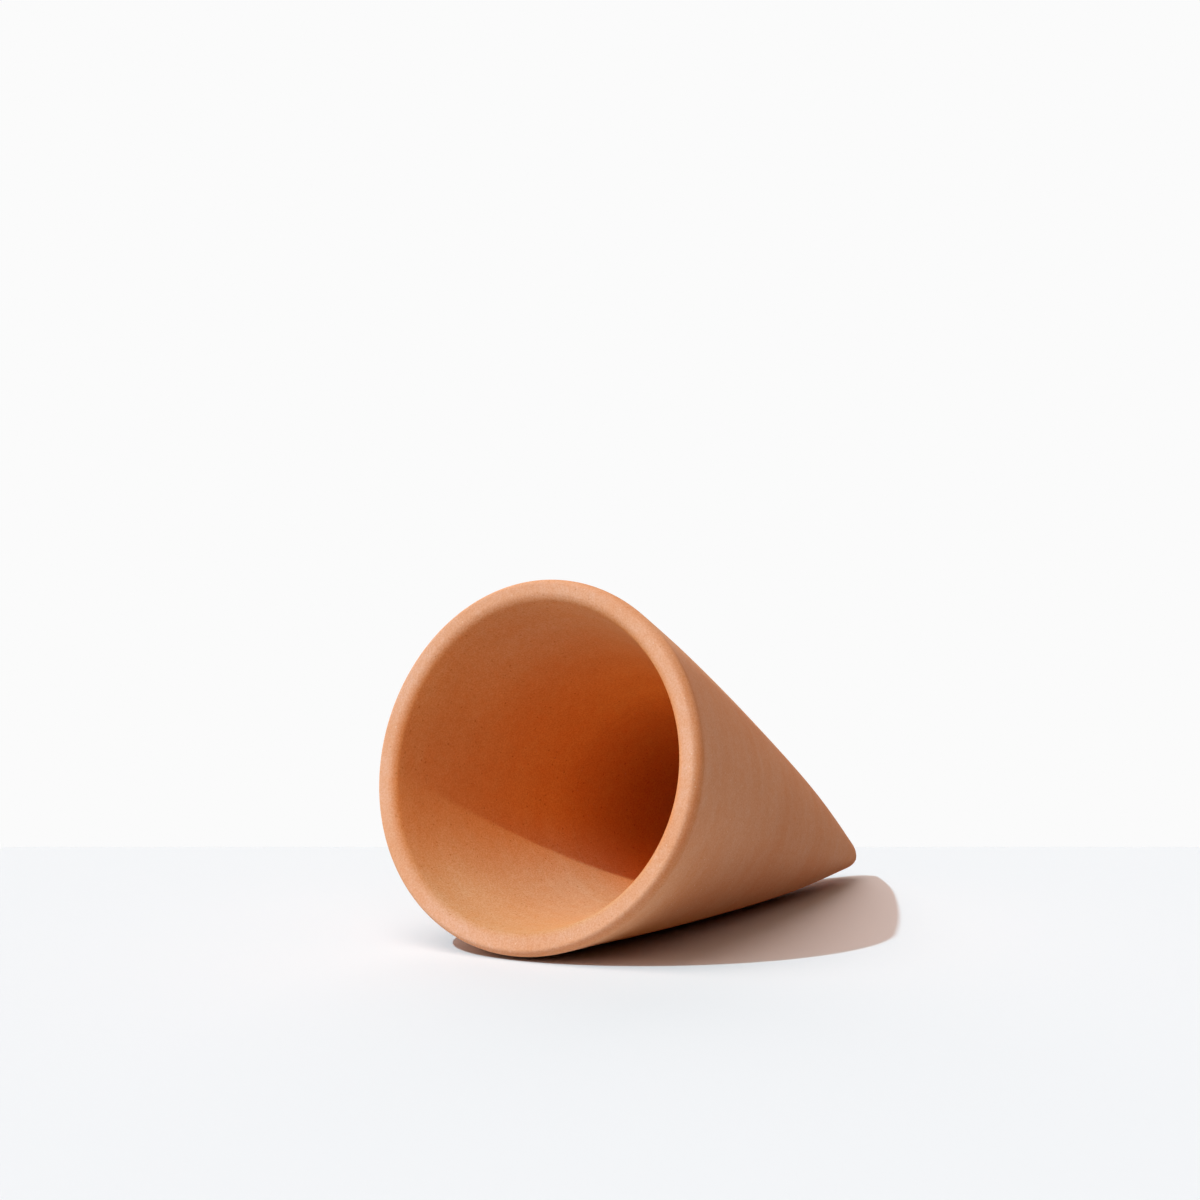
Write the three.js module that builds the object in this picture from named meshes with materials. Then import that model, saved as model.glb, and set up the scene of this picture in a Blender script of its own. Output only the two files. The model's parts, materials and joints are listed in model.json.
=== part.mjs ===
// A watering cone of unglazed fired clay, lying on its side as it comes to rest on a table.
// In use the tip is pushed into the soil and the cone is filled through its wide mouth,
// and the water seeps out slowly through the porous wall.
// Millimetres, +Z up. The table is z = 0, the mouth faces -X and the tip points along +X.

import * as THREE from 'three';

// Sizes of the cone
const MOUTH_DIAMETER = 90; // outside, across the fullest part of the lip
const LENGTH = 150; // along the axis, from the crown of the lip to the tip
const WALL = 5.85; // thickness of the clay, square to the flank
const FLANK_RADIUS = 1350; // the flank isn't straight, but swells in one long arc
const TIP_RADIUS = 4.2; // the point is rounded to a small ball
const CAVITY_TIP_RADIUS = 3; // the hollow ends in a small ball too
const LIP_EDGE_ROUND = 1; // the lip turns quickly over its outer edge
const LIP_SHOULDER_ROUND = 3.5; // and then slowly, down to the flank
const LIP_EDGE_TURN = 50; // degrees turned at the edge, before the slow bend takes over
const LIP_INNER_ROUND = 2.1; // the lip rolls softly into the hollow

// Fineness of the faceted surface
const FACETS_ROUND = 72; // even, so that a flat facet can face straight down
const FLANK_STEPS = 14;
const TIP_STEPS = 5;
const LIP_EDGE_STEPS = 3;
const LIP_SHOULDER_STEPS = 4;
const LIP_INNER_STEPS = 5;

const FULL_TURN = 2 * Math.PI;
const HALF_FACET = FULL_TURN / FACETS_ROUND / 2;

// The profile lies in a plane with x = distance from the axis and y = distance from the crown.

// Centre of the large arc that touches two small circles from outside and encloses them,
// on the far side of the axis from the wall.
function enclosingArcCentre(first, firstRadius, second, secondRadius, arcRadius) {
  const toFirst = arcRadius - firstRadius;
  const toSecond = arcRadius - secondRadius;
  const between = second.clone().sub(first);
  const distance = between.length();
  const along = (distance ** 2 + toFirst ** 2 - toSecond ** 2) / (2 * distance);
  const aside = Math.sqrt(toFirst ** 2 - along ** 2);
  const direction = between.normalize();
  const square = new THREE.Vector2(-direction.y, direction.x);
  const side = square.x > 0 ? -1 : 1;
  return first.clone().addScaledVector(direction, along).addScaledVector(square, side * aside);
}

// Points on a circle from one direction to the other, both ends included.
function arcPoints(centre, radius, fromAngle, toAngle, steps) {
  return Array.from({ length: steps + 1 }, (_, step) => {
    const angle = THREE.MathUtils.lerp(fromAngle, toAngle, step / steps);
    return new THREE.Vector2(centre.x + radius * Math.cos(angle), centre.y + radius * Math.sin(angle));
  });
}

// Direction from one point to another, as an angle in the profile plane.
function angleTo(from, to) {
  return Math.atan2(to.y - from.y, to.x - from.x);
}

// Outside: a ball at the tip, one long arc up the flank, the slow bend of the lip's shoulder,
// and the quick one of its edge, each tangent to the next.
const CROWN_FACING = -Math.PI / 2;
const edgeEnd = CROWN_FACING + THREE.MathUtils.degToRad(LIP_EDGE_TURN);
const roundsApart = LIP_SHOULDER_ROUND - LIP_EDGE_ROUND;
const tipCentre = new THREE.Vector2(0, LENGTH - TIP_RADIUS);
const shoulderCentre = new THREE.Vector2(
  MOUTH_DIAMETER / 2 - LIP_SHOULDER_ROUND,
  LIP_EDGE_ROUND - roundsApart * Math.sin(edgeEnd),
);
const edgeCentre = new THREE.Vector2(shoulderCentre.x + roundsApart * Math.cos(edgeEnd), LIP_EDGE_ROUND);
const flankCentre = enclosingArcCentre(
  shoulderCentre,
  LIP_SHOULDER_ROUND,
  tipCentre,
  TIP_RADIUS,
  FLANK_RADIUS,
);
const tipSeam = angleTo(flankCentre, tipCentre);
const shoulderSeam = angleTo(flankCentre, shoulderCentre);

// Inside: an arc with the same centre, one wall nearer to it, with its own ball at the end.
// At the mouth it rolls over into the crown, which is the flat ring on top of the lip.
const hollowRadius = FLANK_RADIUS - WALL;
const hollowTipReach = Math.sqrt((hollowRadius - CAVITY_TIP_RADIUS) ** 2 - flankCentre.x ** 2);
const hollowTipCentre = new THREE.Vector2(0, flankCentre.y + hollowTipReach);
const rollReach = Math.sqrt((hollowRadius + LIP_INNER_ROUND) ** 2 - (LIP_INNER_ROUND - flankCentre.y) ** 2);
const rollCentre = new THREE.Vector2(flankCentre.x + rollReach, LIP_INNER_ROUND);
const hollowTipSeam = angleTo(flankCentre, hollowTipCentre);
const rollSeam = angleTo(flankCentre, rollCentre);

const hollowTip = arcPoints(hollowTipCentre, CAVITY_TIP_RADIUS, Math.PI / 2, hollowTipSeam, TIP_STEPS);
const hollowFlank = arcPoints(flankCentre, hollowRadius, hollowTipSeam, rollSeam, FLANK_STEPS);
const innerRoll = arcPoints(rollCentre, LIP_INNER_ROUND, rollSeam - Math.PI, CROWN_FACING, LIP_INNER_STEPS);
const outerEdge = arcPoints(edgeCentre, LIP_EDGE_ROUND, CROWN_FACING, edgeEnd, LIP_EDGE_STEPS);
const shoulder = arcPoints(shoulderCentre, LIP_SHOULDER_ROUND, edgeEnd, shoulderSeam, LIP_SHOULDER_STEPS);
const flank = arcPoints(flankCentre, FLANK_RADIUS, shoulderSeam, tipSeam, FLANK_STEPS);
const tip = arcPoints(tipCentre, TIP_RADIUS, tipSeam, Math.PI / 2, TIP_STEPS);
hollowTip[0].x = 0;
tip[TIP_STEPS].x = 0;

// From the end of the hollow, up to the lip, over it and down the outside to the tip.
// Neighbouring arcs share their seam point, which is kept once.
const outline = [
  ...hollowTip,
  ...hollowFlank.slice(1),
  ...innerRoll.slice(1),
  ...outerEdge,
  ...shoulder.slice(1),
  ...flank.slice(1),
  ...tip.slice(1),
];

// How far down the axis the clay balances.
// Each stretch of the outside sweeps a frustum of clay, down to the axis,
// and each stretch of the hollow, which runs the other way, takes its own away again.
function balancePoint(points) {
  let volume = 0;
  let moment = 0;
  for (let i = 1; i < points.length; i += 1) {
    const { x: r0, y: s0 } = points[i - 1];
    const { x: r1, y: s1 } = points[i];
    const height = s1 - s0;
    const startShare = 3 * r0 * r0 + 2 * r0 * r1 + r1 * r1;
    const endShare = r0 * r0 + 2 * r0 * r1 + 3 * r1 * r1;
    volume += (height * (startShare + endShare)) / 12;
    moment += (height * (s0 * startShare + s1 * endShare)) / 12;
  }
  return moment / volume;
}

// The cone lies on the flank facet that its balance point is square above.
// Its pitch is the slope of that facet.
function restingPitch(points, balance) {
  const facetShrink = Math.cos(HALF_FACET);
  for (let i = 1; i < points.length; i += 1) {
    const nearLip = new THREE.Vector2(points[i - 1].x * facetShrink, points[i - 1].y);
    const nearTip = new THREE.Vector2(points[i].x * facetShrink, points[i].y);
    const facet = nearTip.clone().sub(nearLip);
    const foot = new THREE.Vector2(0, balance).sub(nearLip).dot(facet) / facet.lengthSq();
    if (foot >= 0 && foot < 1) return Math.atan2(-facet.x, facet.y);
  }
  throw new Error('the cone has no facet to lie on');
}

const pitch = restingPitch(flank, balancePoint(outline));

const firedClay = new THREE.MeshStandardMaterial({ color: 0xa96a45, roughness: 0.92, metalness: 0 });

// A half facet of turn at the start puts a flat facet, not an edge, at the very bottom.
const cone = new THREE.Mesh(new THREE.LatheGeometry(outline, FACETS_ROUND, HALF_FACET, FULL_TURN), firedClay);
cone.name = 'clay_cone';
cone.rotation.z = -Math.PI / 2;

// The lying cone pitches tip down, then stands with its lowest facet on the table and its box centred.
const lying = new THREE.Group();
lying.rotation.y = pitch;
lying.add(cone);
const box = new THREE.Box3().setFromObject(lying, true);
lying.position.set(-(box.min.x + box.max.x) / 2, -(box.min.y + box.max.y) / 2, -box.min.z);

const wateringCone = new THREE.Group();
wateringCone.add(lying);

export default wateringCone;
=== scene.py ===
import json
import math

import bpy
import numpy as np
from mathutils import Matrix, Vector


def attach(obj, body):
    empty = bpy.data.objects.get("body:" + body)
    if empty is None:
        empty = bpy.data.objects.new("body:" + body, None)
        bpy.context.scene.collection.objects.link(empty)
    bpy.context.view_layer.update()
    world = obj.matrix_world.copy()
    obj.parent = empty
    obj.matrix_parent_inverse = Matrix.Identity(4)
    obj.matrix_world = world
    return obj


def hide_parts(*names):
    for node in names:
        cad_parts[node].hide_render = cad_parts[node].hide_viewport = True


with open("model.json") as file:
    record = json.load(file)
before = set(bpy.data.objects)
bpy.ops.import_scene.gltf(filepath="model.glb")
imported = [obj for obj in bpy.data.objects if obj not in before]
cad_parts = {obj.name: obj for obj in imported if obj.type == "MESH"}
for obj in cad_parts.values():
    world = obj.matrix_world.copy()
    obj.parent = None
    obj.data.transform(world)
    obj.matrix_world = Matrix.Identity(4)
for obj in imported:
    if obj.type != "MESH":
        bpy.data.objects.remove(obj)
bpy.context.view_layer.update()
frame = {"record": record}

# The watering cone.
# One hollow, pointed shell of red earthenware, turned from one lump of clay, sponged smooth,
# its lip rounded over by hand, and fired once without a glaze. It lies on its flank.

# Sizes in metres. From the flank inwards, the lip is a slow shoulder, a quick edge, a flat crown and a
# soft inner round.
MOUTH_RADIUS = 0.045
LENGTH = 0.150
WALL = 0.00585
FLANK_RADIUS = 1.350  # of the long arc from the lip to the tip
TIP_RADIUS = 0.0042
HOLLOW_TIP_RADIUS = 0.003
LIP_EDGE_ROUND = 0.001
LIP_EDGE_TURN = math.radians(50)
LIP_SHOULDER_ROUND = 0.0035
LIP_INNER_ROUND = 0.0021

# How the hand-made cone differs from a round one. A turn is counted round the axis from the top, a
# depth down the axis from the crown, and the lobes and the fuller place are shares of the radius.
TWO_LOBES = 0.0046
TWO_LOBES_TURN = math.radians(-32.5)
THREE_LOBES = 0.0073
THREE_LOBES_TURN = math.radians(13)
FULLER = 0.034
FULLER_DEPTH = 0.1245
FULLER_SPREAD = 0.0317
RIM_LEAN = math.radians(3.3)
RIM_LEAN_TURN = math.radians(-142)
RIM_LEAN_REACH = 0.0225
PRESS = 0.00036
PRESS_RADIUS = 0.0405
PRESS_DEPTH = 0.0008
PRESS_SPREAD = 0.0017
TIP_SWELL = 0.0004
TIP_SWELL_UP = -0.0009
TIP_SWELL_ASIDE = -0.0032
TIP_SWELL_DEPTH = 0.1483
TIP_SWELL_SPREAD = 0.0019
TIP_SWELL_OUTWARD = 0.8  # how much of the swelling goes away from the axis
TIP_SWELL_AHEAD = 0.6  # how much of it goes on down the axis

# How finely the surface is divided.
ROUND_STEPS = 360
FLANK_STEPS = 100
ROUND_OVER_STEPS = 10
CROWN_STEPS = 4
BALL_STEPS = 8


def arc(centre, radius, start, end, steps):
    """Points of a circle in the profile plane, (distance from the axis, depth from the crown):
    centre plus radius times the cosine and sine of evenly spaced angles."""
    angle = np.linspace(start, end, steps + 1)
    return np.column_stack([centre[0] + radius * np.cos(angle), centre[1] + radius * np.sin(angle)])


def heading(start, end):
    """The angle of the line from one profile point to another."""
    return math.atan2(end[1] - start[1], end[0] - start[0])


def enclosing_centre(first, first_radius, second, second_radius, radius):
    """Centre of the large circle that holds two small ones and touches both.
    It lies where two circles cross. Each is drawn round the centre of one of the small ones, and its
    radius is the large one's less that small one's. Of the two crossings it is the one further in."""
    first, second = np.array(first), np.array(second)
    reach_first, reach_second = radius - first_radius, radius - second_radius
    span = np.linalg.norm(second - first)
    direction = (second - first) / span
    along = (span**2 + reach_first**2 - reach_second**2) / (2 * span)
    aside = math.sqrt(reach_first**2 - along**2)
    inward = np.array([direction[1], -direction[0]])
    inward *= -np.sign(inward[0])
    return first + along * direction + aside * inward


def cone_profile():
    """Profile of the clay, from the end of the hollow up to the lip, over it and down to the tip:
    two arcs about one centre, a wall apart, ended by balls and joined by the rounded lip."""
    to_crown = -math.pi / 2
    edge_end = to_crown + LIP_EDGE_TURN
    apart = LIP_SHOULDER_ROUND - LIP_EDGE_ROUND
    tip = (0.0, LENGTH - TIP_RADIUS)
    shoulder = (MOUTH_RADIUS - LIP_SHOULDER_ROUND, LIP_EDGE_ROUND - apart * math.sin(edge_end))
    edge = (shoulder[0] + apart * math.cos(edge_end), LIP_EDGE_ROUND)
    flank = enclosing_centre(shoulder, LIP_SHOULDER_ROUND, tip, TIP_RADIUS, FLANK_RADIUS)
    hollow_radius = FLANK_RADIUS - WALL
    hollow_reach = math.sqrt((hollow_radius - HOLLOW_TIP_RADIUS) ** 2 - flank[0] ** 2)
    hollow_tip = (0.0, flank[1] + hollow_reach)
    edge_reach = math.sqrt((hollow_radius + LIP_INNER_ROUND) ** 2 - (LIP_INNER_ROUND - flank[1]) ** 2)
    inner_round = (flank[0] + edge_reach, LIP_INNER_ROUND)
    hollow_seam = heading(flank, hollow_tip)
    inner_seam = heading(flank, inner_round)
    outer_seam = heading(flank, shoulder)
    tip_seam = heading(flank, tip)
    crown = np.linspace((inner_round[0], 0.0), (edge[0], 0.0), CROWN_STEPS + 1)
    stretches = [
        arc(hollow_tip, HOLLOW_TIP_RADIUS, math.pi / 2, hollow_seam, BALL_STEPS),
        arc(flank, hollow_radius, hollow_seam, inner_seam, FLANK_STEPS)[1:],
        arc(inner_round, LIP_INNER_ROUND, inner_seam - math.pi, to_crown, ROUND_OVER_STEPS)[1:],
        crown[1:-1],
        arc(edge, LIP_EDGE_ROUND, to_crown, edge_end, ROUND_OVER_STEPS),
        arc(shoulder, LIP_SHOULDER_ROUND, edge_end, outer_seam, ROUND_OVER_STEPS)[1:],
        arc(flank, FLANK_RADIUS, outer_seam, tip_seam, FLANK_STEPS)[1:],
        arc(tip, TIP_RADIUS, tip_seam, math.pi / 2, BALL_STEPS)[1:],
    ]
    return np.vstack(stretches)


def on_crown(profile):
    """Which points of the profile lie on the flat crown, at depth 0."""
    return np.isclose(profile[:, 1], 0.0)


def bell(distance, spread):
    """A bell curve: e to the power of minus the square of distance over spread."""
    return np.exp(-((distance / spread) ** 2))


def handmade(radius, depth, turn):
    """Moves the round surface as a hand-made one differs from it. The radius gains a two-lobed and
    a three-lobed share that fade to the tip, and ahead of the tip a share by a bell curve of the depth.
    The rim's plane leans, fading below the lip. At the top of the mouth the thumb has pressed the lip's
    inner edge back, by a bell curve of the distance from the edge, times the fourth power of the cosine
    of half the turn. The tip's ball swells on one side, by a bell curve of the distance from there."""
    fade = 1 - depth / LENGTH
    two_lobes = TWO_LOBES * np.cos(2 * (turn - TWO_LOBES_TURN))
    three_lobes = THREE_LOBES * np.cos(3 * (turn - THREE_LOBES_TURN))
    fuller = FULLER * bell(depth - FULLER_DEPTH, FULLER_SPREAD)
    new_radius = radius * (1 + fade * (two_lobes + three_lobes) + fuller)

    lean = math.tan(RIM_LEAN) * np.cos(turn - RIM_LEAN_TURN)
    near_rim = np.clip(1 - depth / RIM_LEAN_REACH, 0, 1)
    new_depth = depth + lean * radius * near_rim

    from_edge = np.hypot(radius - PRESS_RADIUS, depth - PRESS_DEPTH)
    press = PRESS * bell(from_edge, PRESS_SPREAD) * np.cos(turn / 2) ** 4

    beside = np.hypot(radius * np.cos(turn) - TIP_SWELL_UP, radius * np.sin(turn) - TIP_SWELL_ASIDE)
    from_swell = np.hypot(beside, depth - TIP_SWELL_DEPTH)
    swell = TIP_SWELL * bell(from_swell, TIP_SWELL_SPREAD)
    return new_radius + press + TIP_SWELL_OUTWARD * swell, new_depth + press + TIP_SWELL_AHEAD * swell


def surface_of_revolution(name, profile, axis, up, crown_centre):
    """A closed surface swept by the profile round the axis. A point is the crown's centre, plus its
    depth along the axis, plus its radius times (cos turn * up + sin turn * side). Both ends are poles,
    and a face joins two neighbours on a ring to the same two on the next ring, or to a pole."""
    rings = profile[1:-1]
    turn = np.linspace(0, 2 * math.pi, ROUND_STEPS, endpoint=False)[None, :]
    radius, depth = handmade(rings[:, :1], rings[:, 1:], turn)
    side = np.cross(up, axis)
    spoke = np.cos(turn)[..., None] * up + np.sin(turn)[..., None] * side
    points = crown_centre + depth[..., None] * axis + radius[..., None] * spoke
    poles = crown_centre + profile[[0, -1], 1:] * axis
    vertices = np.vstack([points.reshape(-1, 3), poles])

    first_pole = len(rings) * ROUND_STEPS
    last_pole = first_pole + 1
    here = np.arange(first_pole).reshape(len(rings), ROUND_STEPS)
    beside = np.roll(here, -1, axis=1)
    quads = np.stack([here[:-1], here[1:], beside[1:], beside[:-1]], axis=-1).reshape(-1, 4)
    first_fan = np.stack([np.full(ROUND_STEPS, first_pole), here[0], beside[0]], axis=-1)
    last_fan = np.stack([np.full(ROUND_STEPS, last_pole), beside[-1], here[-1]], axis=-1)

    mesh = bpy.data.meshes.new(name)
    mesh.from_pydata(vertices, [], quads.tolist() + first_fan.tolist() + last_fan.tolist())
    mesh.shade_smooth()
    piece = bpy.data.objects.new(name, mesh)
    bpy.context.collection.objects.link(piece)
    return piece


def keep_way_from_crown(piece, profile):
    """Keeps each point's way from the crown's middle along the clay, which is the length of the
    profile between them: outside positive, inside negative."""
    steps = np.linalg.norm(np.diff(profile, axis=0), axis=1)
    travelled = np.append(0, np.cumsum(steps))
    way = travelled - travelled[on_crown(profile)].mean()
    way_of_points = np.concatenate([np.repeat(way[1:-1], ROUND_STEPS), way[[0, -1]]])
    attribute = piece.data.attributes.new("from_crown", "FLOAT", "POINT")
    attribute.data.foreach_set("value", way_of_points)


def stand_on_floor(piece):
    """Moves the mesh straight down or up until its lowest point is at height 0."""
    places = np.empty(len(piece.data.vertices) * 3)
    piece.data.vertices.foreach_get("co", places)
    heights = places[2::3]
    piece.data.transform(Matrix.Translation((0, 0, -heights.min())))


mounts = {mount["name"]: mount for mount in frame["record"]["mounts"]}
crown_top = np.array(mounts["rim_crown"]["pos_m"])
axis = -np.array(mounts["rim_crown"]["axis"])
up = np.array([-axis[2], 0.0, axis[0]])
profile = cone_profile()
crown_radius = profile[on_crown(profile), 0].mean()
crown_centre = crown_top - crown_radius * up
cone = surface_of_revolution("watering_cone", profile, axis, up, crown_centre)
keep_way_from_crown(cone, profile)
stand_on_floor(cone)
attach(cone, "root")
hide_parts("clay_cone")

# Where one tone of the clay goes over into another, from and to: as a way from the crown in metres,
# outside positive and inside negative, and as a turn from the top in radians.
WAYS = {
    "outside": (0.0010, 0.0032),
    "behind the lip": (0.006, 0.035),
    "past the lip": (-0.0004, -0.0038),
    # Going in from here, the painted shade of the hollow's upper part turns redder.
    "deep": (-0.006, -0.060),
    # From here the narrow end takes on a darker painted shade.
    "deeper": (-0.053, -0.085),
}
TURNS = {
    "aside": (0.25, 1.2),
    # Here the painted shade of the hollow's upper part gives way to its lower part, which the hard lamp
    # lights.
    "lit part of the hollow": (1.70, 2.60),
    # Below these turns the flank carries painted shade, darker and redder towards the table.
    "under the flank": (1.75, 2.35),
    # Past these the bottom, which lies on the table, is redder still, so that it gives warmer light back
    # into the cone's shadow.
    "towards the table": (2.40, 2.80),
}

# Tones of the fired clay: palest where the lip is rubbed. The hollow's tones are painted light and shade:
# redder and darker than the outside where it lies in shade, more so further in, more orange to the sides
# of the mouth, paler in its lower part, where the hard lamp lights it, and darkest in its narrow end.
# Under the flank the tone is painted shade, darker and redder towards the table, and at the bottom, where
# it lies on the table, redder still, which warms the light that it gives back into its shadow. Each row
# names a tone, the place where it goes over, and the tones before and after, by colour or by row.
TONES = (
    ("mouth", "aside", "#CB8452", "#D88446"),
    ("shaded hollow", "deep", "mouth", "#E7852F"),
    ("lit hollow", "deep", "#CB9162", "#D99B6D"),
    ("wide hollow", "lit part of the hollow", "shaded hollow", "lit hollow"),
    ("shaded narrow end", "lit part of the hollow", "#C86519", "#E77926"),
    ("hollow", "deeper", "wide hollow", "shaded narrow end"),
    ("shaded flank and red bottom", "towards the table", "#C87F52", "#DB833E"),
    ("underside", "behind the lip", "#D7966B", "shaded flank and red bottom"),
    ("flank", "under the flank", "#D8976E", "underside"),
    ("outside", "outside", "#DCA380", "flank"),
    ("skin", "past the lip", "outside", "hollow"),
)
GRIT_TONE = "#F3DCC6"

# Round the two ends, within 4 mm of the axis, the turn evens out to that of the sides, so that no tone
# runs to a point.
EVEN_TURN = 1.2
EVEN_REACH = (0.0005, 0.004)

# Soft patterns of the skin. Each has a size in metres, the detail and roughness of its noise, and the
# shares by which it swings red, green and blue to either side.
BAND_WIDTH = 0.006
BAND_LENGTH = 0.045
PATTERNS = {
    "bands": (BAND_LENGTH, 3.0, 0.55, (0.010, 0.05, 0.11)),  # the sponge's, 3 to 8 mm wide
    "clouds": (0.022, 1.0, 0.50, (0.015, 0.05, 0.09)),  # of uneven drying, 20 to 40 mm across
    "mottling": (0.0026, 2.0, 0.60, (0.005, 0.04, 0.09)),  # of the mixed clay, 1 to 3 mm across
    "sand": (0.0004, 1.0, 0.50, (0.070, 0.17, 0.30)),  # drawn no finer than the render shows
}
NOISE_SPAN = (0.3, 0.7)  # most values of the noise lie in it
SPONGED_SAND = 0.70  # what the sponge has left of the sand's strength outside

# Pin holes and pale grit, one to each cell of the clay. A cell is in metres. A rim is where the mark
# begins and where it is full, by the distance from its middle, as a share of its cell. The three
# shares below a hole's rim move it out or in.
HOLE_CELL = 0.0014
HOLE_RIM = (0.06, -0.04)
HOLE_WIDEST = 0.24  # how far out chance moves it at most
HOLE_RAGGED = 0.10  # how far in the sand moves it at most
HOLE_CLOSED = 0.06  # how far in the sponge has moved it outside
HOLE_TINT = (0.84, 0.72, 0.56, 1.0)
GRIT_CELL = 0.0024
GRIT_RIM = (0.10, 0.04)
GRIT_OUTSIDE = 0.38  # how strongly the grit shows
GRIT_INSIDE = 0.06

# The orange line behind the lip: ways from the crown, a turn, and its strength where it is weaker.
LINE_BEGINS = (0.0010, 0.0030)
LINE_ENDS = (0.0068, 0.0050)
LINE_SIDE = (-0.5, -1.1)
LINE_BETWEEN_CLOUDS = 0.5
LINE_UNDER_FLANK = 0.2
LINE_TINT = (0.94, 0.80, 0.61, 1.0)

# The turning groove: its depth down the hollow, and where it begins and is full to either side.
GROOVE_DOWN_HOLLOW = 0.057
GROOVE_RIM = (0.0004, 0.0001)
GROOVE_TINT = (0.97, 0.955, 0.93, 1.0)

# How far the marks stand out of the skin, or go into it where negative, in metres.
RELIEF = {
    "bands": 0.000014,
    "mottling": 0.000004,
    "sand": 0.000006,
    "pin holes": -0.00003,
    "groove": -0.00001,
}

# Settings of nodes. A Mix node's inputs are 0, the share of the second colour, and 6 and 7, the two
# colours, and its output 2 is the mixed colour.
SMOOTH = {"interpolation_type": "SMOOTHSTEP"}
BLEND = {"data_type": "RGBA"}
TINT = {"data_type": "RGBA", "blend_type": "MULTIPLY"}
TIMES = {"operation": "MULTIPLY"}
TIMES_PLUS = {"operation": "MULTIPLY_ADD"}
WHITE = (1.0, 1.0, 1.0, 1.0)


def linear(hex_colour):
    """An sRGB hex colour as linear values, by sRGB's own curve."""
    channels = [int(hex_colour[i : i + 2], 16) / 255 for i in (1, 3, 5)]
    return (*((c / 12.92) if c <= 0.04045 else ((c + 0.055) / 1.055) ** 2.4 for c in channels), 1.0)


def node(tree, kind, settings=None, **inputs):
    """Adds a node, sets its properties, and sets or links its inputs. An input goes by its label, with
    _ for a blank, or by its number after a _, where several inputs share one label."""
    made = tree.nodes.new(kind)
    for name, value in (settings or {}).items():
        setattr(made, name, value)
    for name, value in inputs.items():
        numbered = name[1:].isdigit()
        socket = made.inputs[int(name[1:]) if numbered else name.replace("_", " ")]
        if isinstance(value, bpy.types.NodeSocket):
            tree.links.new(value, socket)
        else:
            socket.default_value = value
    return made


def place_on_wheel(tree, wheel_axis, wheel_up, wheel_centre):
    """A point's place as it was on the wheel, in metres: the object turned so that X runs down the axis
    from the crown and Z points to the top. Gives that place, the depth, which is X, the turn, which is
    the arctangent of Y over Z, and the turn from the top, without a sign and evened out at the ends."""
    pitch = math.atan2(wheel_axis[2], wheel_axis[0])
    start = (-wheel_centre @ wheel_axis, 0.0, -wheel_centre @ wheel_up)
    position = node(tree, "ShaderNodeTexCoord").outputs["Object"]
    turned = node(tree, "ShaderNodeMapping", Vector=position, Location=start, Rotation=(0.0, pitch, 0.0))
    wheel = turned.outputs["Vector"]
    parts = node(tree, "ShaderNodeSeparateXYZ", Vector=wheel).outputs
    turn = node(tree, "ShaderNodeMath", {"operation": "ARCTAN2"}, _0=parts["Y"], _1=parts["Z"]).outputs[0]
    unsigned = node(tree, "ShaderNodeMath", {"operation": "ABSOLUTE"}, _0=turn).outputs[0]

    flat = node(tree, "ShaderNodeVectorMath", TIMES, _0=wheel, _1=(0.0, 1.0, 1.0)).outputs["Vector"]
    off_axis = node(tree, "ShaderNodeVectorMath", {"operation": "LENGTH"}, _0=flat).outputs["Value"]
    begins, full = EVEN_REACH
    away = node(tree, "ShaderNodeMapRange", SMOOTH, Value=off_axis, From_Min=begins, From_Max=full)
    from_top = node(
        tree, "ShaderNodeMapRange", Value=away.outputs[0], To_Min=EVEN_TURN, To_Max=unsigned
    ).outputs[0]
    return wheel, parts["X"], turn, from_top


def where_tones_change(tree, from_crown, from_top):
    """For each place where tones go over, 0 before it and 1 after it, with a smooth step between."""
    after = {}
    for measure, places in ((from_crown, WAYS), (from_top, TURNS)):
        for place, (begins, full) in places.items():
            step = node(tree, "ShaderNodeMapRange", SMOOTH, Value=measure, From_Min=begins, From_Max=full)
            after[place] = step.outputs[0]
    return after


def fired_tones(tree, after):
    """The tone of the clay, with the painted light and shade of the hollow and under the flank, mixed row
    by row from the tones before and after each place.
    """
    mixed = {}
    for tone, place, *ends in TONES:
        before, beyond = (mixed[end] if end in mixed else linear(end) for end in ends)
        mix = node(tree, "ShaderNodeMix", BLEND, _0=after[place], _6=before, _7=beyond)
        mixed[tone] = mix.outputs[2]
    return mixed["skin"]


def soft_patterns(tree, wheel, inside):
    """The strength of each soft pattern, from 0 to 1, and the tint that it gives. The bands' noise is
    squeezed along the axis, so that they run round the cone, a hand's sweep long."""
    squeeze = (BAND_LENGTH / BAND_WIDTH, 1.0, 1.0)
    squeezed = node(tree, "ShaderNodeMapping", Vector=wheel, Scale=squeeze).outputs["Vector"]
    low, high = NOISE_SPAN
    strengths, tints = {}, {}
    for name, (size, detail, roughness, swing) in PATTERNS.items():
        place = squeezed if name == "bands" else wheel
        grain = {"Scale": 1 / size, "Detail": detail, "Roughness": roughness}
        noise = node(tree, "ShaderNodeTexNoise", Vector=place, **grain).outputs["Fac"]
        spread = node(tree, "ShaderNodeMapRange", Value=noise, From_Min=low, From_Max=high).outputs[0]
        darker = (*(1 - share for share in swing), 1.0)
        lighter = (*(1 + share for share in swing), 1.0)
        strengths[name] = spread
        tints[name] = node(tree, "ShaderNodeMix", BLEND, _0=spread, _6=darker, _7=lighter).outputs[2]
    coarse = node(tree, "ShaderNodeMapRange", Value=inside, To_Min=SPONGED_SAND, To_Max=1.0).outputs[0]
    tints["sand"] = node(tree, "ShaderNodeMix", BLEND, _0=coarse, _6=WHITE, _7=tints["sand"]).outputs[2]
    return strengths, tints


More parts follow.
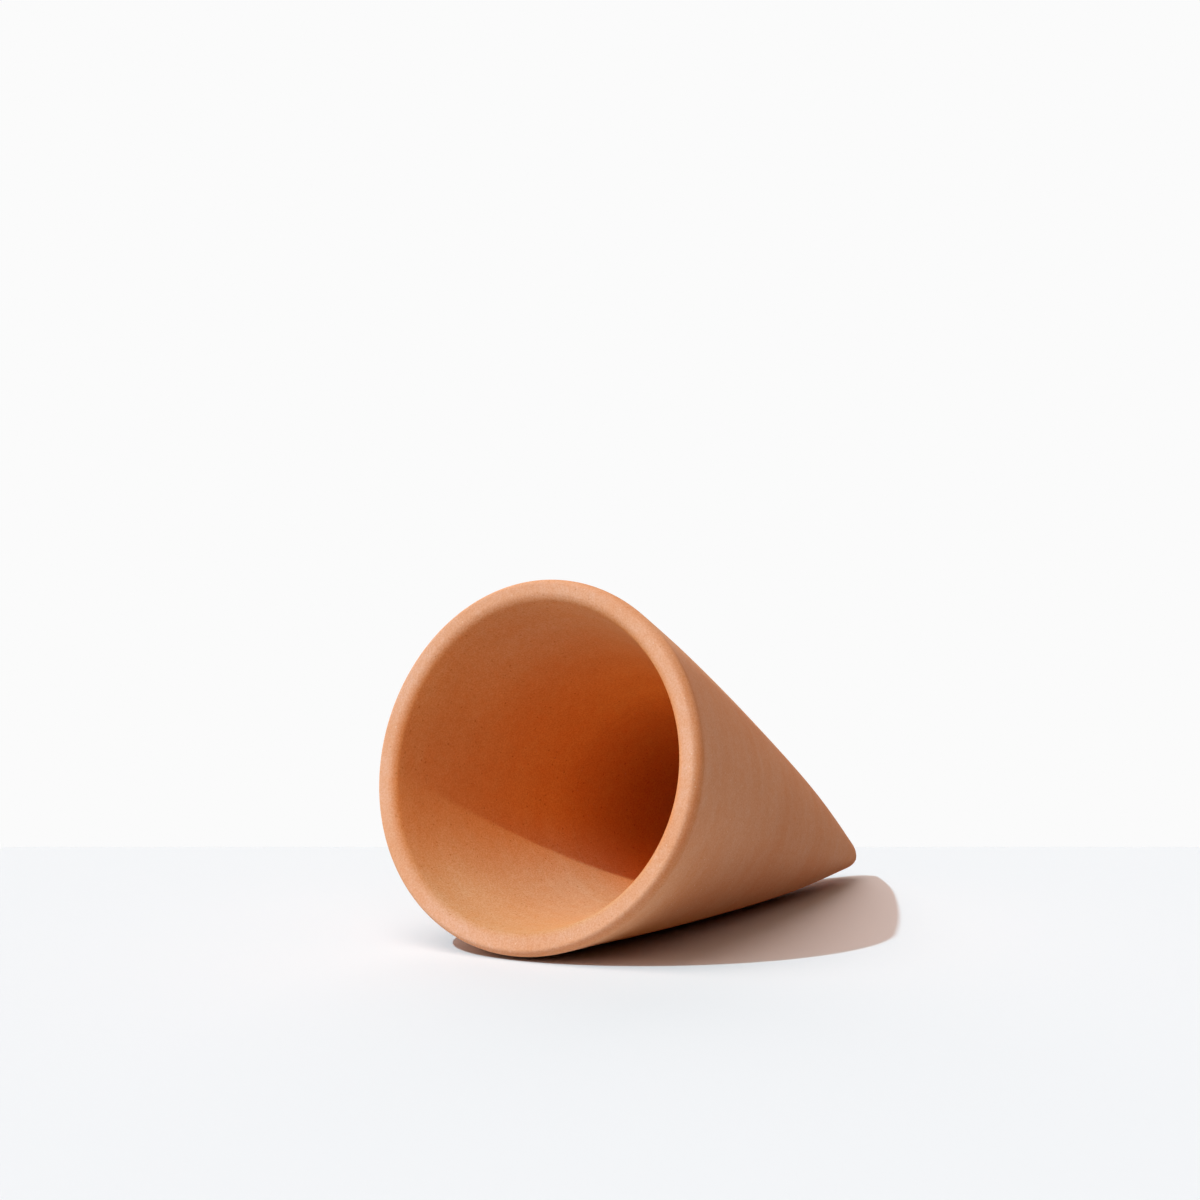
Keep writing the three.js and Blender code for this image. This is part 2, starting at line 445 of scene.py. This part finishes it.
def pin_holes(tree, wheel, sand, inside):
    """Pin holes up to 0.5 mm across, which show a deeper orange. Each is a small ball of chance width in
    its cell of the clay, made ragged by the sand, and it shows where the skin cuts through it. The
    sponge has closed most of them outside."""
    cells = node(tree, "ShaderNodeTexVoronoi", Vector=wheel, Scale=1 / HOLE_CELL).outputs
    chance = node(tree, "ShaderNodeSeparateColor", Color=cells["Color"]).outputs["Red"]
    ball = node(tree, "ShaderNodeMath", TIMES_PLUS, _0=chance, _1=-HOLE_WIDEST, _2=cells["Distance"])
    ragged = node(tree, "ShaderNodeMath", TIMES_PLUS, _0=sand, _1=HOLE_RAGGED, _2=ball.outputs[0])
    closed = node(tree, "ShaderNodeMapRange", Value=inside, To_Min=HOLE_CLOSED, To_Max=0.0)
    edge = node(tree, "ShaderNodeMath", {"operation": "ADD"}, _0=ragged.outputs[0], _1=closed.outputs[0])
    begins, full = HOLE_RIM
    holes = node(tree, "ShaderNodeMapRange", SMOOTH, Value=edge.outputs[0], From_Min=begins, From_Max=full)
    tint = node(tree, "ShaderNodeMix", BLEND, _0=holes.outputs[0], _6=WHITE, _7=HOLE_TINT)
    return holes.outputs[0], tint.outputs[2]


def pale_grit(tree, wheel, inside):
    """Pale grit that the sponge has laid bare, one ball in each cell of the clay. The hollow keeps a
    skin of fine clay over it."""
    distance = node(tree, "ShaderNodeTexVoronoi", Vector=wheel, Scale=1 / GRIT_CELL).outputs["Distance"]
    begins, full = GRIT_RIM
    grit = node(tree, "ShaderNodeMapRange", SMOOTH, Value=distance, From_Min=begins, From_Max=full)
    bare = node(tree, "ShaderNodeMapRange", Value=inside, To_Min=GRIT_OUTSIDE, To_Max=GRIT_INSIDE)
    return node(tree, "ShaderNodeMath", TIMES, _0=grit.outputs[0], _1=bare.outputs[0]).outputs[0]


def sponge_line(tree, from_crown, turn, under, clouds):
    """An orange line just behind the lip's shoulder, down one side of it. Its strength is the product of
    three steps, which begin it, end it and keep it to its side, and of two shares, for the clouds, which
    make it patchy, and for the underside."""
    steps = ((from_crown, LINE_BEGINS), (from_crown, LINE_ENDS), (turn, LINE_SIDE))
    shares = [
        node(tree, "ShaderNodeMapRange", SMOOTH, Value=measure, From_Min=begins, From_Max=full)
        for measure, (begins, full) in steps
    ]
    shares.append(node(tree, "ShaderNodeMapRange", Value=clouds, To_Min=LINE_BETWEEN_CLOUDS, To_Max=1.0))
    shares.append(node(tree, "ShaderNodeMapRange", Value=under, To_Min=1.0, To_Max=LINE_UNDER_FLANK))
    line = 1.0
    for share in shares:
        line = node(tree, "ShaderNodeMath", TIMES, _0=line, _1=share.outputs[0]).outputs[0]
    return node(tree, "ShaderNodeMix", BLEND, _0=line, _6=WHITE, _7=LINE_TINT).outputs[2]


def turning_groove(tree, depth, inside):
    """A fine groove that the turning tool left round the hollow, about 0.5 mm wide. It fades with the
    distance to either side of its own depth down the hollow."""
    past = node(tree, "ShaderNodeMath", {"operation": "SUBTRACT"}, _0=depth, _1=GROOVE_DOWN_HOLLOW)
    distance = node(tree, "ShaderNodeMath", {"operation": "ABSOLUTE"}, _0=past.outputs[0]).outputs[0]
    begins, full = GROOVE_RIM
    ring = node(tree, "ShaderNodeMapRange", SMOOTH, Value=distance, From_Min=begins, From_Max=full)
    groove = node(tree, "ShaderNodeMath", TIMES, _0=ring.outputs[0], _1=inside).outputs[0]
    return groove, node(tree, "ShaderNodeMix", BLEND, _0=groove, _6=WHITE, _7=GROOVE_TINT).outputs[2]


def fired_earthenware(wheel_axis, wheel_up, wheel_centre):
    """Red earthenware, turned on a wheel, sponged, and fired once without a glaze. Its skin is dry and
    sandy and scatters light with no gloss. The sponge leaves soft bands round it and lays fine sand bare,
    gas and burnt-out grit leave pin holes, and rubbing and drying salts make the lip paler."""
    material = bpy.data.materials.new("unglazed_red_earthenware")
    material.use_nodes = True
    tree = material.node_tree
    wheel, depth, turn, from_top = place_on_wheel(tree, wheel_axis, wheel_up, wheel_centre)
    from_crown = node(tree, "ShaderNodeAttribute", {"attribute_name": "from_crown"}).outputs["Fac"]
    after = where_tones_change(tree, from_crown, from_top)
    inside = after["past the lip"]

    # Each mark tints the tone in turn, and the grit covers it.
    marks, tints = soft_patterns(tree, wheel, inside)
    marks["pin holes"], tints["pin holes"] = pin_holes(tree, wheel, marks["sand"], inside)
    tints["line"] = sponge_line(tree, from_crown, turn, after["under the flank"], marks["clouds"])
    marks["groove"], tints["groove"] = turning_groove(tree, depth, inside)
    # The tones hold painted shade and light in the hollow and under the flank.
    skin = fired_tones(tree, after)
    for tint in tints.values():
        skin = node(tree, "ShaderNodeMix", TINT, _0=1.0, _6=skin, _7=tint).outputs[2]
    grit = pale_grit(tree, wheel, inside)
    skin = node(tree, "ShaderNodeMix", BLEND, _0=grit, _6=skin, _7=linear(GRIT_TONE)).outputs[2]

    relief = 0.0
    for name, height in RELIEF.items():
        relief = node(tree, "ShaderNodeMath", TIMES_PLUS, _0=marks[name], _1=height, _2=relief).outputs[0]
    bump = node(tree, "ShaderNodeBump", Strength=1.0, Distance=1.0, Height=relief)

    shader = tree.nodes["Principled BSDF"]
    tree.links.new(skin, shader.inputs["Base Color"])
    tree.links.new(bump.outputs["Normal"], shader.inputs["Normal"])
    shader.inputs["Roughness"].default_value = 0.95
    shader.inputs["Diffuse Roughness"].default_value = 0.6
    shader.inputs["Specular IOR Level"].default_value = 0.2
    return material


cone.data.materials.append(fired_earthenware(axis, up, crown_centre))

# The camera.
# It stands to the left of the mouth, a little above the table, as the photograph was taken.

PHOTO_PIXELS = 1200
MOUTH_PIXEL = (532.5, 766.9)  # where the middle of the mouth lies in the photograph
HORIZON_PIXEL = 847  # the row of the table's far edge
LOOK_TURN = math.radians(34.2)  # from +X towards +Y
LOOK_DOWN = math.radians(5.34)
MOUTH_DEPTH = 1.080  # how far ahead of the camera the mouth is, in metres
LENS = 136.5  # in millimetres, as the sensor is
SENSOR = 36.0

ahead = Vector((math.cos(LOOK_TURN), math.sin(LOOK_TURN), 0.0))
right = Vector((ahead.y, -ahead.x, 0.0))
look = ahead * math.cos(LOOK_DOWN) - Vector((0, 0, math.sin(LOOK_DOWN)))
camera_up = right.cross(look)
focal_pixels = LENS / SENSOR * PHOTO_PIXELS
across = (MOUTH_PIXEL[0] - PHOTO_PIXELS / 2) / focal_pixels
above = (PHOTO_PIXELS / 2 - MOUTH_PIXEL[1]) / focal_pixels
camera_data = bpy.data.cameras.new("camera")
camera_data.lens = LENS
camera_data.sensor_width = SENSOR
camera = bpy.data.objects.new("camera", camera_data)
bpy.context.collection.objects.link(camera)
camera.location = Vector(crown_centre) - MOUTH_DEPTH * (look + across * right + above * camera_up)
camera.rotation_mode = "QUATERNION"
camera.rotation_quaternion = Matrix((right, camera_up, -look)).transposed().to_quaternion()
bpy.context.scene.camera = camera

# The table.
# A pale matt top under the cone. Its far edge is the line behind the cone's tip. It is painted with
# matt white emulsion, which scatters light evenly and has no gloss.

TABLE_SPREAD = 3.0  # half its width and half its depth, in metres
TABLE_PAINT = "#E4E4E7"

below_middle = math.atan((HORIZON_PIXEL - PHOTO_PIXELS / 2) / focal_pixels)
edge_ahead = camera.location.z / math.tan(LOOK_DOWN + below_middle)
foot = Vector((camera.location.x, camera.location.y, 0.0))
far_edge = foot + ahead * edge_ahead
near_edge = far_edge - ahead * 2 * TABLE_SPREAD
half_width = right * TABLE_SPREAD
table_corners = [
    near_edge - half_width,
    near_edge + half_width,
    far_edge + half_width,
    far_edge - half_width,
]
table_mesh = bpy.data.meshes.new("table")
table_mesh.from_pydata(table_corners, [], [(0, 1, 2, 3)])
table = bpy.data.objects.new("table", table_mesh)
bpy.context.collection.objects.link(table)
table_paint = bpy.data.materials.new("matt_white_paint")
table_paint.use_nodes = True
paint_shader = table_paint.node_tree.nodes["Principled BSDF"]
paint_shader.inputs["Base Color"].default_value = linear(TABLE_PAINT)
paint_shader.inputs["Roughness"].default_value = 1.0
paint_shader.inputs["Specular IOR Level"].default_value = 0.0
table.data.materials.append(table_paint)

# The light.
# A small hard lamp stands high to the left of the mouth and four broad soft ones stand round it: one
# overhead, one in front, one behind for the light that the backdrop gives back, and one high on the
# right for the warm light that the ceiling gives back into the cone's shadow.


def shine(name, heading, height, spread, strength, colour):
    """A far lamp. Its light travels towards a heading on the table, from a height above it, all in
    degrees, and spread is the angle that the lamp fills as seen from the table. A strength of 1 shows
    a surface that faces it in its own colour, which for a sun lamp is pi watts a square metre."""
    lamp_data = bpy.data.lights.new(name, "SUN")
    lamp_data.energy = math.pi * strength
    lamp_data.angle = math.radians(spread)
    lamp_data.color = colour
    lamp = bpy.data.objects.new(name, lamp_data)
    way, down = math.radians(heading), math.radians(height)
    travel = Vector((math.cos(down) * math.cos(way), math.cos(down) * math.sin(way), -math.sin(down)))
    lamp.rotation_mode = "QUATERNION"
    lamp.rotation_quaternion = travel.to_track_quat("-Z", "Y")
    bpy.context.collection.objects.link(lamp)


HARD_COLOUR = (0.595, 0.893, 1.0)
SOFT_COLOUR = (1.0, 0.807, 0.731)
CEILING_COLOUR = (1.0, 0.70, 0.45)
shine("key", heading=-17.5, height=46.3, spread=1, strength=0.85, colour=HARD_COLOUR)
shine("overhead", heading=-20, height=66, spread=50, strength=0.500, colour=SOFT_COLOUR)
shine("ceiling", heading=100, height=72, spread=60, strength=0.10, colour=CEILING_COLOUR)
shine("front", heading=20, height=35, spread=50, strength=0.222, colour=SOFT_COLOUR)
shine("backdrop", heading=-138, height=25, spread=50, strength=0.306, colour=SOFT_COLOUR)

# Seen directly or in a mirror, the room is a white backdrop. It adds no light to that of the lamps.
BACKDROP_COLOUR = "#FBFBFB"
world = bpy.data.worlds.new("room")
world.use_nodes = True
bpy.context.scene.world = world
sky = world.node_tree
sky.nodes.clear()
ray = node(sky, "ShaderNodeLightPath")
seen = 0.0
for kind in ("Is Camera Ray", "Is Glossy Ray", "Is Transmission Ray"):
    seen = node(sky, "ShaderNodeMath", {"operation": "MAXIMUM"}, _0=seen, _1=ray.outputs[kind]).outputs[0]
backdrop = node(sky, "ShaderNodeBackground", Color=linear(BACKDROP_COLOUR), Strength=1.0)
either = node(sky, "ShaderNodeMixShader", _0=seen, _2=backdrop.outputs[0])
node(sky, "ShaderNodeOutputWorld", Surface=either.outputs[0])

bpy.context.scene.view_settings.view_transform = "Standard"
